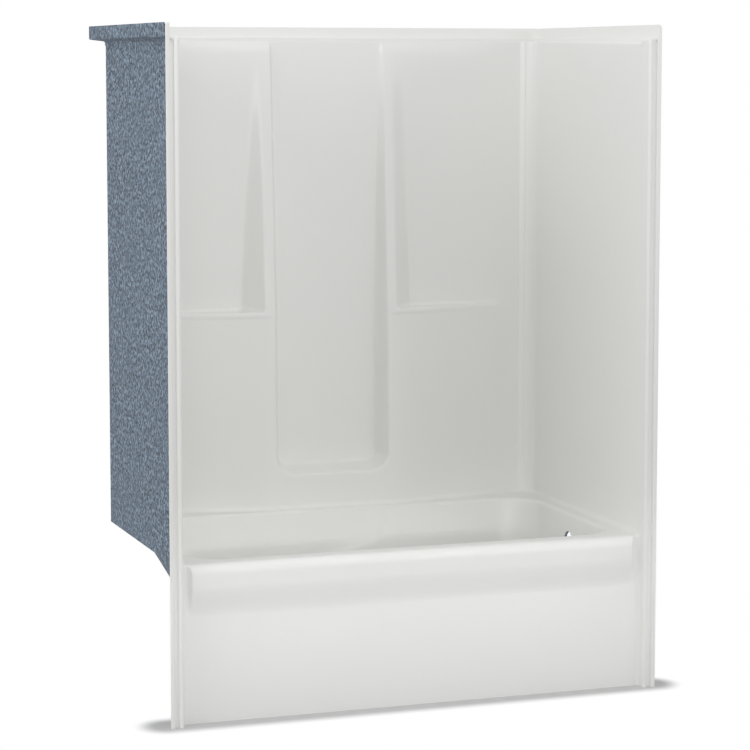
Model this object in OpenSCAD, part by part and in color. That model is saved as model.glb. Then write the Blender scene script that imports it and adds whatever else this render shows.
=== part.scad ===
// Alcove bath and shower in white gel coat on a speckled fibre backing.
// X runs to the right, towards the drain end. Y runs to the back wall. Z is up.
// The origin lies on the floor, under the centre of the footprint.

/* [Overall] */
// Width over the outer edges of the nailing flanges
unit_w = 1524; // [1400:1:1700]
// Depth from the front flange to the back of the top flange
unit_d = 940; // [900:1:1050]
// Height from the floor to the top edge
unit_h = 2010; // [1850:1:2200]

/* [Layers] */
// Thickness of the white face
face_t = 4; // [3:0.5:5]
// Thickness of the fibre backing
backing_t = 4; // [3:0.5:5]
// Thickness of the stiffening sheet inside each side wall
core_t = 3; // [2:0.5:6]

/* [Walls] */
// Distance from the outer edge of the flange to the inner face of a side wall
wall_inset = 41; // [40:1:50]
// Distance from the back of the top flange to the flat part of the back wall
back_inset = 47; // [44:1:60]
// Radius of the coved corners between the walls
cove_r = 50; // [30:1:60]

/* [Back wall relief] */
// Height of the two shelves above the floor
shelf_h = 1105; // [1000:1:1200]
// How far the lower wall stands forward at the shelf
relief_shelf = 61; // [45:1:75]
// How far the lower wall stands forward at the deck
relief_deck = 76; // [65:1:77]
// How far the wall beside the channel stands forward near the top
relief_top = 12; // [6:1:16]
// Height over which the relief runs out under the ledge
top_blend = 40; // [20:1:60]
// Flat strip between the end of the relief and the coved corner
relief_end_gap = 51; // [20:1:100]
// Width of the channel at its front edges
channel_w = 380; // [320:1:420]
// How much narrower the channel is at its back, on each side, below the shelves
channel_draft = 22; // [10:1:30]
// How much narrower the channel is at its back, on each side, at the top
channel_top_draft = 8; // [4:1:15]
// Height of the bottom of the channel above the floor
channel_floor_h = 578; // [540:1:660]
// Radius of the two lower corners of the channel
channel_r = 60; // [30:1:90]
// Width of the flat front of each pilaster, beside the channel
pilaster_w = 32; // [20:1:60]
// Width of the slope from a pilaster back to its shelf recess
pilaster_slope_w = 67; // [40:1:90]

/* [Top flange] */
// Height of the upstand round the top
flange_h = 41; // [30:1:60]
// Thickness of each of the two layers of the upstand
flange_layer_t = 3; // [2:0.5:4]
// Drop of the sloping ledge inside the upstand, at the front
ledge_drop_front = 22; // [10:1:30]
// Drop of the sloping ledge along the back
ledge_drop_back = 8; // [5:1:10]
// Radius of the front top corners of the flange
flange_front_r = 24; // [10:1:30]
// Radius of the lower back corners of the flange
flange_back_r = 15; // [5:1:20]

/* [Front columns] */
// Width of the front nailing flange
nail_flange_w = 13; // [10:1:16]
// Thickness of the sheet of the flange and the column
column_t = 3; // [2:0.5:4]
// Radius of the rounded bead
bead_r = 8; // [6:1:8]
// Depth of the column from front to back
column_d = 53; // [30:1:53]
// Depth of the groove between the flange and the bead
groove_d = 8; // [7:1:9]

/* [Tub] */
// Height of the deck above the floor
deck_h = 466; // [420:1:500]
// Width of the front rim, from the front face to the edge of the basin
rim_w = 100; // [90:1:130]
// Width of the deck at the sloping end
deck_left_w = 46; // [32:1:60]
// Width of the deck at the drain end
deck_right_w = 49; // [32:1:60]
// Distance from the edge of the basin to the flat back wall
deck_back_w = 98; // [97:1:120]
// Radius of the corners of the basin, seen from above
basin_r = 120; // [90:1:150]
// Height of the inside of the basin floor
basin_floor_h = 105; // [90:1:140]
// Radius between the basin floor and its walls
basin_floor_r = 45; // [30:1:60]
// Lean of the backrest from upright
backrest_angle = 31; // [24:1:34]
// Lean of the drain end from upright
drain_end_angle = 6; // [3:1:8]
// Lean of the front wall of the basin from upright
front_angle = 7; // [4:1:10]
// Lean of the back wall of the basin from upright
rear_angle = 9; // [5:1:12]
// Outward flare of the edge of the basin
rim_flare = 16; // [10:1:20]
// Height of the flare of the edge of the basin
rim_flare_h = 22; // [15:1:30]

/* [Drain and overflow] */
// Diameter of the drain hole
drain_d = 50.8; // [40:0.1:60]
// Distance of the drain from the foot of the drain end
drain_from_end = 90; // [75:1:150]
// Diameter of the overflow hole
overflow_d = 70; // [50:1:75]
// Depth of the middle of the overflow hole below the deck
overflow_drop = 91; // [85:1:120]

/* [Apron] */
// Distance of the lower panel behind the front face
panel_back = 35; // [30:1:38]
// Distance of the upper band behind the front face
band_back = 18; // [10:1:22]
// Height of the lower edge of the band above the floor
band_bottom_h = 385; // [340:1:400]
// Radius of the front edge of the rim
rim_r = 30; // [20:1:34]
// Gap between the end of the band and the side wall
band_end_gap = 26; // [10:1:40]

/* [Supports] */
// Thickness of the board under the basin
board_t = 12; // [9:1:18]
// Thickness of the timber runners and battens
timber_t = 38; // [30:1:45]
// Width of an upright stiffener behind the apron
stiffener_w = 90; // [60:1:120]
// Number of upright stiffeners behind the apron
stiffener_count = 3; // [2:1:5]

/* [Hidden] */

face_colour = "white";
backing_colour = "slategray";
core_colour = "burlywood";
timber_colour = "peru";

// Thin slice used at the ends of a hull, and the overshoot of a cut
slice = 0.01;
over = 5;
arc_steps = 6;

front_y = -unit_d / 2;
half_w = unit_w / 2;
wall_x = half_w - wall_inset;
back_y = unit_d / 2 - back_inset;
wall_back_y = back_y + face_t + backing_t;
core_x = wall_x + face_t;
side_backing_x = core_x + core_t;
wall_out_x = side_backing_x + backing_t;
wall_front_y = front_y + column_d;
cove_x = wall_x - cove_r;
cove_y = back_y - cove_r;
cove_out_r = cove_r + face_t;

flange_in_x = half_w - 2 * flange_layer_t;
flange_in_y = unit_d / 2 - 2 * flange_layer_t;
flange_base_h = unit_h - flange_h;
column_front_d = groove_d + column_t;
ledge_front_y = front_y + column_front_d;
ledge_rise = 6;
corner_tip = 10;
corner_lap = 1;
ledge_top_h = flange_base_h + ledge_rise;
ledge_in_front_h = ledge_top_h - ledge_drop_front;
ledge_in_back_h = ledge_top_h - ledge_drop_back;
walls_top_h = ledge_in_back_h - face_t;

channel_half = channel_w / 2;
channel_lip = 12;
channel_edge = 3;
flank_share = 0.6;
slope_top_share = 0.35;
pilaster_x = channel_half + pilaster_w;
lean = (relief_deck - relief_shelf) / (shelf_h - deck_h);
blend_h = walls_top_h - top_blend;
relief_reach = cove_x - relief_end_gap;
straight_rows = 4;
blend_share = 0.6;
row_h = [for (i = [0:straight_rows]) shelf_h + (blend_h - shelf_h) * i / straight_rows,
         blend_h + blend_share * top_blend, walls_top_h];
rows = len(row_h);
arc_angles = [for (i = [0:arc_steps]) 90 * i / arc_steps];
ring_size = 2 * rows + 2 * len(arc_angles);
slope_columns = 4;
column_count = slope_columns + 2;

deck_under_h = deck_h - face_t;
deck_bottom_h = deck_under_h - backing_t;
basin_left_x = -wall_x + deck_left_w;
basin_right_x = wall_x - deck_right_w;
basin_front_y = front_y + rim_w;
basin_back_y = back_y - deck_back_w;
basin_mid_y = (basin_front_y + basin_back_y) / 2;
knee_h = basin_floor_h + basin_floor_r;
knee_left_x = basin_left_x + (deck_h - knee_h) * tan(backrest_angle);
knee_right_x = basin_right_x - (deck_h - knee_h) * tan(drain_end_angle);
knee_front_y = basin_front_y + (deck_h - knee_h) * tan(front_angle);
knee_back_y = basin_back_y - (deck_h - knee_h) * tan(rear_angle);
floor_left_x = knee_left_x + basin_floor_r;
floor_right_x = knee_right_x - basin_floor_r;
floor_front_y = knee_front_y + basin_floor_r;
floor_back_y = knee_back_y - basin_floor_r;
basin_under_h = basin_floor_h - face_t - backing_t;
flare_inset = 0.5;

drain_x = floor_right_x - drain_from_end + basin_floor_r;
collar_w = 20;
collar_r = drain_d / 2 + collar_w;
collar_t = 14;
dish_w = 12;
dish_r = drain_d / 2 + dish_w;
dish_t = 3;
overflow_h = deck_h - overflow_drop;
overflow_x = basin_right_x - overflow_drop * tan(drain_end_angle);
pad_w = 15;
pad_r = overflow_d / 2 + pad_w;
pad_t = 12;

// Where the basin is divided into its floor, its two ends and its two long walls
end_margin = 7;
floor_margin = 2;
end_cut_left = knee_left_x + basin_r + end_margin;
end_cut_right = knee_right_x - basin_r - end_margin;
floor_cut_left = floor_left_x - floor_margin;
floor_cut_right = max(floor_right_x, drain_x + collar_r) + floor_margin;
floor_cut_front = floor_front_y - floor_margin;
floor_cut_back = floor_back_y + floor_margin;

rim_tail = 5;
apron_back_y = front_y + band_back + rim_r + rim_tail;
panel_y = front_y + panel_back;
band_y = front_y + band_back;
apron_backing_t = 3;
backing_edge_h = 15;
panel_rear_y = panel_y + face_t + apron_backing_t;

board_top_h = basin_under_h;
board_bottom_h = board_top_h - board_t;
board_margin = 12;
runner_margin = 20;

// Closed shell made from a surface: each point p is thickened from p + from * n to p + to * n.
// The faces are given clockwise, seen from the open side.
module shell(points, normals, faces, from, to) {
    n = len(points);
    count = n + 1;
    edges = [for (f = faces) for (i = [0:len(f) - 1]) [f[i], f[(i + 1) % len(f)]]];
    keys = [for (e = edges) e[0] * count + e[1]];
    rim = [for (e = edges) if (len(search(e[1] * count + e[0], keys)) == 0) e];
    polyhedron(
        concat([for (i = [0:n - 1]) points[i] + from * normals[i]],
            [for (i = [0:n - 1]) points[i] + to * normals[i]]),
        concat(faces,
            [for (f = faces) [for (i = [len(f) - 1:-1:0]) f[i] + n]],
            [for (e = rim) [e[1], e[0], e[0] + n]],
            [for (e = rim) [e[1], e[0] + n, e[1] + n]]));
}

// Triangles between two rows of as many point numbers, clockwise when b lies to the right of a
function strip(a, b) = [
    for (i = [0:len(a) - 2]) each [[a[i], a[i + 1], b[i + 1]], [a[i], b[i + 1], b[i]]]
];

function reversed(list) = [for (i = [len(list) - 1:-1:0]) list[i]];
function flipped(faces) = [for (f = faces) reversed(f)];

// Sheet of even height under four corner points, given anticlockwise from above
module sheet(p, t) {
    points = concat([for (q = p) [q[0], q[1], q[2] - t]], p);
    polyhedron(points, [
        [0, 1, 2], [0, 2, 3], [4, 6, 5], [4, 7, 6],
        [0, 5, 1], [0, 4, 5], [1, 6, 2], [1, 5, 6],
        [2, 7, 3], [2, 6, 7], [3, 4, 0], [3, 7, 4]
    ]);
}

module mirrored(side) {
    if (side > 0) {
        children();
    } else {
        mirror([1, 0, 0]) children();
    }
}

module box(from, to) {
    translate(from) cube(to - from);
}

module rounded_rect(x0, x1, y0, y1, r) {
    translate([x0 + r, y0]) square([x1 - x0 - 2 * r, y1 - y0]);
    translate([x0, y0 + r]) square([x1 - x0, y1 - y0 - 2 * r]);
    for (x = [x0 + r, x1 - r], y = [y0 + r, y1 - r]) {
        translate([x, y]) circle(r = r, $fn = 48);
    }
}

// Extrudes an outline of X and Z values along Y, from y0 to y1
module upright(y0, y1) {
    translate([0, y1, 0]) rotate([90, 0, 0]) linear_extrude(y1 - y0) children();
}

// Back wall
// How far the surface stands forward of the flat wall: below the shelf, on a pilaster
// and at the foot of the recess above the shelf
function lower_depth(z) = relief_shelf + lean * (shelf_h - z);

function pilaster_depth(z) = z <= blend_h
    ? relief_shelf + (relief_top - relief_shelf) * (z - shelf_h) / (blend_h - shelf_h)
    : relief_top * (1 - pow((z - blend_h) / top_blend, 2));

function recess_depth(z) = z <= blend_h
    ? relief_top * (z - shelf_h) / (blend_h - shelf_h)
    : pilaster_depth(z);

function front_depth(z) = z <= shelf_h ? lower_depth(z) : pilaster_depth(z);

function draft(z) =
    channel_draft + (channel_top_draft - channel_draft) * max(0, z - shelf_h) / (walls_top_h - shelf_h);

// The channel is a nest of U-shaped rings. Each ring has an outward offset from the front
// edge, as a plain distance plus a share of the draft, and a share of the depth.
ring_forms = [[channel_lip, 0, 1], [channel_edge, 0, 1], [0, -0.05, 0.94], [0, -0.85, 0.06], [0, -1, 0]];

function ring_offset(k, z) = ring_forms[k][0] + ring_forms[k][1] * draft(z);
function ring_y(k, z) = back_y - ring_forms[k][2] * front_depth(z);

function ring_arc(k, side, angles) =
    let (o = ring_offset(k, 0), r = channel_r + o)
    [for (a = angles)
        let (z = channel_floor_h - o + r * (1 - sin(a)), x = channel_half + o - r * (1 - cos(a)))
        [[side * x, ring_y(k, z), z], [side * cos(a), 1, -sin(a)]]];

function ring_rise(k, side, heights) = [for (z = heights)
    [[side * (channel_half + ring_offset(k, z)), ring_y(k, z), z], [side, 1, 0]]];

function ring(k) = concat(
    ring_rise(k, -1, reversed(row_h)), ring_arc(k, -1, arc_angles),
    ring_arc(k, 1, reversed(arc_angles)), ring_rise(k, 1, row_h));

// The outer ring is thickened straight back, the others partly sideways too
function ring_normal(k, n) = k == 0 ? [0, 1, 0] : [flank_share * n[0], 1, flank_share * n[2]];

ring_points = [for (k = [0:len(ring_forms) - 1]) for (q = ring(k)) q[0]];
ring_normals = [for (k = [0:len(ring_forms) - 1]) for (q = ring(k)) ring_normal(k, q[1])];

// Columns of the surface beside the channel: pilaster edge, two on the slope, foot of the
// slope, end of the relief and edge of the cove
function slope_w(z) =
    let (share = (pilaster_depth(z) - recess_depth(z)) / relief_shelf)
    pilaster_slope_w * (slope_top_share + (1 - slope_top_share) * share);

function slope_depth(u, z) =
    let (w = min(1, (z - shelf_h) / (blend_h - shelf_h)))
    let (share = (1 - w) * (1 - u) + w * (1 + cos(180 * u)) / 2)
    recess_depth(z) + (pilaster_depth(z) - recess_depth(z)) * share;

function column(c, z) = c < slope_columns
    ? let (u = c / (slope_columns - 1))
        [pilaster_x + u * slope_w(z), back_y - slope_depth(u, z), z]
    : [c == slope_columns ? relief_reach : cove_x, back_y, z];

function column_normal(c, i) = i > 0 ? [0, 1, 0] : [0, c == 0 ? 1 - lean : 1, -1];

function on_side(side, p) = [side * p[0], p[1], p[2]];

function side_points(side) = concat(
    [for (c = [0:column_count - 1]) for (z = row_h) on_side(side, column(c, z))],
    [on_side(side, [pilaster_x, back_y - lower_depth(deck_h), deck_h]),
        on_side(side, [relief_reach, back_y, deck_h]), on_side(side, [cove_x, back_y, deck_h])]);

side_normals = concat(
    [for (c = [0:column_count - 1]) for (i = [0:rows - 1]) column_normal(c, i)],
    [[0, 1, 0], [0, 1, 0], [0, 1, 0]]);

wall_points = concat(ring_points, side_points(-1), side_points(1));
wall_normals = concat(ring_normals, side_normals, side_normals);

// Numbers of the points in the lists above
side_size = column_count * rows + 3;
function ring_row(k) = [for (j = [0:ring_size - 1]) k * ring_size + j];
function side_base(side) = len(ring_forms) * ring_size + (side > 0 ? side_size : 0);
function lip_row(side) = side > 0
    ? [for (i = [0:rows - 1]) ring_size - rows + i]
    : [for (i = [0:rows - 1]) rows - 1 - i];
function column_row(side, c) = c < 0
    ? lip_row(side)
    : [for (i = [0:rows - 1]) side_base(side) + c * rows + i];
function deck_point(side, c) = side_base(side) + column_count * rows + c;
function shelf_point(side, c) = column_row(side, c)[0];
function facing(side, faces) = side > 0 ? faces : flipped(faces);

function ring_left(k) = [for (j = [ring_size / 2 - 1:-1:0]) k * ring_size + j];
function ring_right(k) = [for (j = [ring_size / 2:ring_size - 1]) k * ring_size + j];

channel_faces = concat(
    [for (k = [0:len(ring_forms) - 2]) each flipped(strip(ring_row(k), ring_row(k + 1)))],
    strip(ring_left(len(ring_forms) - 1), ring_right(len(ring_forms) - 1)));

function niche_faces(side) = facing(side, concat(
    [for (c = [-1:column_count - 2]) each strip(column_row(side, c), column_row(side, c + 1))],
    [for (c = [0:slope_columns - 2])
        [shelf_point(side, c), shelf_point(side, c + 1), shelf_point(side, slope_columns)]]));

// Fan of triangles from the foot of the wall to the edge of the channel, and on to the shelf
function around_channel(side) =
    let (edge = side > 0 ? ring_right(0) : ring_left(0), count = len(arc_angles) + 1)
    facing(side, concat(
        [for (i = [0:count - 2]) [edge[i], edge[i + 1], deck_point(side, 0)]],
        [[edge[count - 1], shelf_point(side, 0), deck_point(side, 0)]]));

function lower_side_faces(side) = facing(side, concat(
    strip([deck_point(side, 0), shelf_point(side, 0)],
        [deck_point(side, 1), shelf_point(side, slope_columns)]),
    strip([deck_point(side, 1), shelf_point(side, slope_columns)],
        [deck_point(side, 2), shelf_point(side, column_count - 1)])));

lower_faces = concat(
    strip([deck_point(-1, 0), ring_left(0)[0]], [deck_point(1, 0), ring_right(0)[0]]),
    around_channel(-1), around_channel(1), lower_side_faces(-1), lower_side_faces(1));

module back_face(faces) {
    color(face_colour) shell(wall_points, wall_normals, faces, 0, face_t);
}

module back_channel() {
    back_face(channel_faces);
}

module back_lower_wall() {
    back_face(lower_faces);
}

module left_niche() {
    back_face(niche_faces(-1));
}

module right_niche() {
    back_face(niche_faces(1));
}

module back_wall_backing() {
    color(backing_colour)
        shell(wall_points, wall_normals,
            concat(channel_faces, lower_faces, niche_faces(-1), niche_faces(1)),
            face_t, face_t + backing_t);
}

// Quarter of an upright ring round the axis of a coved corner, from z0 up to the ledge
module corner_ring(r0, r1, z0) {
    intersection() {
        translate([cove_x, cove_y, z0]) linear_extrude(unit_h - z0) intersection() {
            difference() {
                circle(r = r1, $fn = 96);
                circle(r = r0, $fn = 96);
            }
            square(r1);
        }
        side_sheet(cove_x, wall_out_x, cove_y - over, wall_back_y, z0);
    }
}

module corner_backing() {
    corner_ring(cove_out_r, cove_out_r + backing_t, deck_bottom_h);
}

module left_corner_backing() {
    color(backing_colour) mirrored(-1) corner_backing();
}

module right_corner_backing() {
    color(backing_colour) corner_backing();
}

// Side walls
// Height of the top of a side wall, which follows the inner edge of the ledge
function side_top(y) =
    ledge_in_front_h - face_t
        + (ledge_in_back_h - ledge_in_front_h) * (y - ledge_front_y) / (back_y - ledge_front_y);

// Sheet parallel to a side wall, from x0 to x1, whose top follows the ledge
module side_sheet(x0, x1, y0, y1, z0) {
    translate([x0, 0, 0]) rotate([90, 0, 90]) linear_extrude(x1 - x0)
        polygon([[y0, z0], [y1, z0], [y1, side_top(y1)], [y0, side_top(y0)]]);
}

module side_backing() {
    side_sheet(side_backing_x, wall_out_x, wall_front_y, cove_y, deck_bottom_h);
}

// Trims the edge along X at the origin, where solids lie in front of it and above it
module corner_trim(r) {
    rotate([90, 0, 90]) linear_extrude(unit_w, center = true) difference() {
        translate([-r, -over]) square([r + over, r + over]);
        translate([-r, r]) circle(r = r, $fn = 64);
    }
}

module left_wall_face() {
    color(face_colour) mirrored(-1) side_sheet(wall_x, core_x, wall_front_y, cove_y, deck_h);
}

module right_wall_face() {
    color(face_colour) side_sheet(wall_x, core_x, wall_front_y, cove_y, deck_h);
}

module left_wall_core() {
    color(core_colour) mirrored(-1) side_sheet(core_x, side_backing_x, wall_front_y, cove_y, deck_h);
}

module right_wall_core() {
    color(core_colour) side_sheet(core_x, side_backing_x, wall_front_y, cove_y, deck_h);
}

module left_wall_backing() {
    color(backing_colour) mirrored(-1) side_backing();
}

module right_wall_backing() {
    color(backing_colour) side_backing();
}

// Coved corners
module corner_cove() {
    corner_ring(cove_r, cove_out_r, deck_h);
}

module left_corner_cove() {
    color(face_colour) mirrored(-1) corner_cove();
}

module right_corner_cove() {
    color(face_colour) corner_cove();
}

// Top flange and ledge
module u_band(x0, x1, y0, y1, z0, z1) {
    difference() {
        box([-x1, front_y, z0], [x1, y1, z1]);
        box([-x0, front_y - over, z0 - over], [x0, y0, z1 + over]);
    }
}

module flange_trim() {
    translate([0, front_y, unit_h]) rotate([180, 0, 0]) corner_trim(flange_front_r);
    translate([0, unit_d / 2, flange_base_h]) corner_trim(flange_back_r);
}

module top_flange() {
    color(face_colour) difference() {
        u_band(flange_in_x, flange_in_x + flange_layer_t,
            flange_in_y, flange_in_y + flange_layer_t, flange_base_h, unit_h);
        flange_trim();
        box([-half_w, front_y - over, 0], [half_w, front_y + column_t, unit_h + over]);
    }
}

module top_flange_backing() {
    color(backing_colour) difference() {
        u_band(flange_in_x + flange_layer_t, half_w,
            flange_in_y + flange_layer_t, unit_d / 2, flange_base_h, unit_h);
        flange_trim();
        box([-half_w, front_y - over, 0], [half_w, front_y + column_t, unit_h + over]);
    }
}

module ledge_side() {
    sheet([
        [wall_x, ledge_front_y, ledge_in_front_h],
        [flange_in_x, ledge_front_y, ledge_top_h],
        [flange_in_x, flange_in_y, ledge_top_h],
        [wall_x, back_y, ledge_in_back_h]
    ], face_t);
}

// Flat corner between the ledge and the top of a coved corner, which laps into the ledge
module ledge_corner() {
    translate([cove_x, cove_y, walls_top_h]) linear_extrude(face_t) difference() {
        translate([corner_tip, corner_tip]) square(cove_r + corner_lap - corner_tip);
        circle(r = cove_r, $fn = 96);
    }
}

module ledge_end() {
    ledge_side();
    ledge_corner();
}

module top_ledge() {
    color(face_colour) {
        ledge_end();
        mirrored(-1) ledge_end();
        sheet([
            [-wall_x, back_y, ledge_in_back_h],
            [wall_x, back_y, ledge_in_back_h],
            [flange_in_x, flange_in_y, ledge_top_h],
            [-flange_in_x, flange_in_y, ledge_top_h]
        ], face_t);
    }
}

// Front columns
module column_plan() {
    translate([nail_flange_w - column_t, 0]) square([column_t, groove_d + column_t]);
    translate([nail_flange_w - column_t, groove_d])
        square([wall_inset - 2 * bead_r - nail_flange_w + 2 * column_t, column_t]);
    translate([wall_inset - bead_r, bead_r]) intersection() {
        difference() {
            circle(r = bead_r, $fn = 96);
            circle(r = bead_r - column_t, $fn = 96);
        }
        translate([-bead_r, -bead_r]) square([2 * bead_r, bead_r]);
    }
    translate([wall_inset - 2 * bead_r, bead_r]) square([column_t, column_front_d - bead_r]);
    translate([wall_inset - column_t, bead_r]) square([column_t, column_d - bead_r]);
}

// Turns a plan of distances from the outer edge and the front face into the right-hand column
module column_place() {
    translate([half_w, front_y, 0]) mirror([1, 0, 0]) children();
}

module bead_top(r) {
    upright(-over, column_d + over) difference() {
        translate([wall_inset - 2 * bead_r, flange_base_h - bead_r]) square([2 * bead_r, 2 * bead_r]);
        translate([wall_inset - bead_r, flange_base_h - bead_r]) circle(r = r, $fn = 96);
    }
}

module front_column() {
    column_place() {
        difference() {
            linear_extrude(flange_base_h) column_plan();
            bead_top(bead_r);
            box([wall_inset - column_t - over, column_front_d, ledge_in_front_h - face_t],
                [wall_inset + over, column_d + over, unit_h]);
        }
        intersection() {
            linear_extrude(flange_base_h) translate([wall_inset - bead_r, bead_r]) union() {
                circle(r = bead_r, $fn = 96);
                translate([-bead_r, 0]) square([2 * bead_r, column_front_d - bead_r]);
            }
            upright(0, column_front_d) translate([wall_inset - bead_r, flange_base_h - bead_r])
                intersection() {
                    difference() {
                        circle(r = bead_r, $fn = 96);
                        circle(r = bead_r - column_t, $fn = 96);
                    }
                    translate([-bead_r, 0]) square([2 * bead_r, bead_r]);
                }
        }
    }
}

module nail_flange() {
    column_place() difference() {
        cube([nail_flange_w - column_t, column_t, unit_h]);
        translate([0, -over, unit_h]) rotate([-90, 0, 0]) linear_extrude(column_t + 2 * over)
            difference() {
                translate([-over, -over]) square(flange_front_r / 2 + over);
                translate([flange_front_r / 2, flange_front_r / 2])
                    circle(r = flange_front_r / 2, $fn = 64);
            }
    }
}

module left_front_column() {
    color(face_colour) mirrored(-1) front_column();
}

module right_front_column() {
    color(face_colour) front_column();
}

module left_nail_flange() {
    color(face_colour) mirrored(-1) nail_flange();
}

module right_nail_flange() {
    color(face_colour) nail_flange();
}

// Basin
module basin_slice(z, grow, left, right, front, back) {
    translate([0, 0, z]) linear_extrude(slice)
        rounded_rect(left - grow, right + grow, front - grow, back + grow, basin_r + grow);
}

// The space inside the basin, with its surface moved outward by t
module basin_bowl(t) {
    hull() {
        basin_slice(deck_h, t, basin_left_x, basin_right_x, basin_front_y, basin_back_y);
        for (i = [0:arc_steps]) {
            a = 90 * i / arc_steps;
            r = basin_floor_r + t;
            basin_slice(knee_h - r * sin(a), t - r * (1 - cos(a)),
                knee_left_x, knee_right_x, knee_front_y, knee_back_y);
        }
    }
}

// The flare starts a little inside the sloping walls, so that it leaves them in a clean line
module basin_flare(t) {
    hull() {
        basin_slice(deck_h - rim_flare_h, t - flare_inset,
            basin_left_x + rim_flare_h * tan(backrest_angle),
            basin_right_x - rim_flare_h * tan(drain_end_angle),
            basin_front_y + rim_flare_h * tan(front_angle),
            basin_back_y - rim_flare_h * tan(rear_angle));
        basin_slice(deck_h - slice, t + rim_flare,
            basin_left_x, basin_right_x, basin_front_y, basin_back_y);
    }
}

module basin_space(t) {
    basin_bowl(t);
    basin_flare(t);
    translate([0, 0, deck_h - slice]) linear_extrude(over)
        rounded_rect(basin_left_x - rim_flare - t, basin_right_x + rim_flare + t,
            basin_front_y - rim_flare - t, basin_back_y + rim_flare + t, basin_r + rim_flare + t);
}

// Disc square to the drain end, between two distances outward from the surface of the basin
module overflow_disc(r, from, to) {
    translate([overflow_x, basin_mid_y, overflow_h]) rotate([0, 90 + drain_end_angle, 0])
        translate([0, 0, from]) cylinder(r = r, h = to - from, $fn = 96);
}

module drain_disc(r, from, to) {
    translate([drain_x, basin_mid_y, from]) cylinder(r = r, h = to - from, $fn = 96);
}

module plan_box(half, y0, y1) {
    translate([-half, y0]) square([2 * half, y1 - y0]);
}

module deck_sheet(z0, z1) {
    translate([0, 0, z0]) linear_extrude(z1 - z0) {
        plan_box(wall_x, apron_back_y, cove_y);
        plan_box(side_backing_x, wall_front_y, cove_y);
        plan_box(cove_x, cove_y - over, back_y + face_t);
        for (side = [-1, 1]) {
            translate([side * cove_x, cove_y]) circle(r = cove_out_r, $fn = 96);
        }
    }
}

module tub_deck() {
    color(face_colour) difference() {
        deck_sheet(deck_under_h, deck_h);
        basin_space(face_t);
    }
}

// The part of the basin's shell between two X and two Y values
module basin_skin(x0, x1, y0, y1) {
    difference() {
        intersection() {
            basin_space(face_t);
            box([x0, y0, 0], [x1, y1, deck_h]);
        }
        basin_space(0);
    }
}

module floor_zone() {
    box([floor_cut_left, floor_cut_front, 0], [floor_cut_right, floor_cut_back, knee_h - over]);
}

module basin_floor() {
    color(face_colour) difference() {
        union() {
            basin_skin(floor_cut_left, floor_cut_right, floor_cut_front, floor_cut_back);
            drain_disc(collar_r, basin_floor_h - collar_t, basin_floor_h);
        }
        drain_disc(drain_d / 2, basin_floor_h - collar_t - over, basin_floor_h + over);
        drain_disc(dish_r, basin_floor_h - dish_t, basin_floor_h + over);
    }
}

module basin_backrest() {
    color(face_colour) difference() {
        basin_skin(-half_w, end_cut_left, front_y, back_y);
        floor_zone();
    }
}

module basin_drain_end() {
    color(face_colour) difference() {
        union() {
            difference() {
                basin_skin(end_cut_right, half_w, front_y, back_y);
                floor_zone();
            }
            overflow_disc(pad_r, face_t / 2, pad_t);
        }
        overflow_disc(overflow_d / 2, -over, pad_t + over);
    }
}

// Line down a long wall of the basin, as Y and Z values, moved outward by t.
// Outward is 1 for the rear wall and -1 for the front wall. As in the hull of the bowl, the
// straight part runs from the deck to the point of the lower arc that it touches first.
function wall_line(t, deck_y, angle, outward) =
    let (knee_y = deck_y - outward * (deck_h - knee_h) * tan(angle), r = basin_floor_r + t)
    let (arc = [for (a = arc_angles) [knee_y + outward * (t - r * (1 - cos(a))), knee_h - r * sin(a)]])
    let (slopes = [for (p = arc) (outward * (deck_y - p[0]) + t) / (deck_h - p[1])])
    let (slope = min(slopes))
    let (first = [for (i = [0:len(arc) - 1]) if (slopes[i] == slope) i][0])
    let (foot_drop = rim_flare / ((rim_flare + flare_inset) / rim_flare_h + tan(angle) - slope))
    concat(
        [[deck_y + outward * (rim_flare + t), deck_h],
            [deck_y + outward * (t - foot_drop * slope), deck_h - foot_drop]],
        [for (i = [first:len(arc) - 1]) arc[i]]);

module long_wall(deck_y, angle, outward, cut_y) {
    color(face_colour) translate([end_cut_left, 0, 0]) rotate([90, 0, 90])
        linear_extrude(end_cut_right - end_cut_left) intersection() {
            polygon(concat(wall_line(0, deck_y, angle, outward),
                reversed(wall_line(face_t, deck_y, angle, outward))));
            translate([outward > 0 ? cut_y : cut_y - unit_d, 0]) square(unit_d);
        }
}

module basin_front_wall() {
    long_wall(basin_front_y, front_angle, -1, floor_cut_front);
}

module basin_rear_wall() {
    long_wall(basin_back_y, rear_angle, 1, floor_cut_back);
}

module tub_backing() {
    color(backing_colour) difference() {
        union() {
            deck_sheet(deck_bottom_h, deck_under_h);
            box([-cove_x, back_y + face_t, deck_bottom_h], [cove_x, wall_back_y, deck_h]);
            intersection() {
                basin_space(face_t + backing_t);
                box([-half_w, front_y, 0], [half_w, back_y, deck_under_h]);
            }
        }
        basin_space(face_t);
        overflow_disc(pad_r, face_t / 2, pad_t + over);
        drain_disc(collar_r, basin_floor_h - collar_t - over, basin_floor_h);
    }
}

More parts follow.
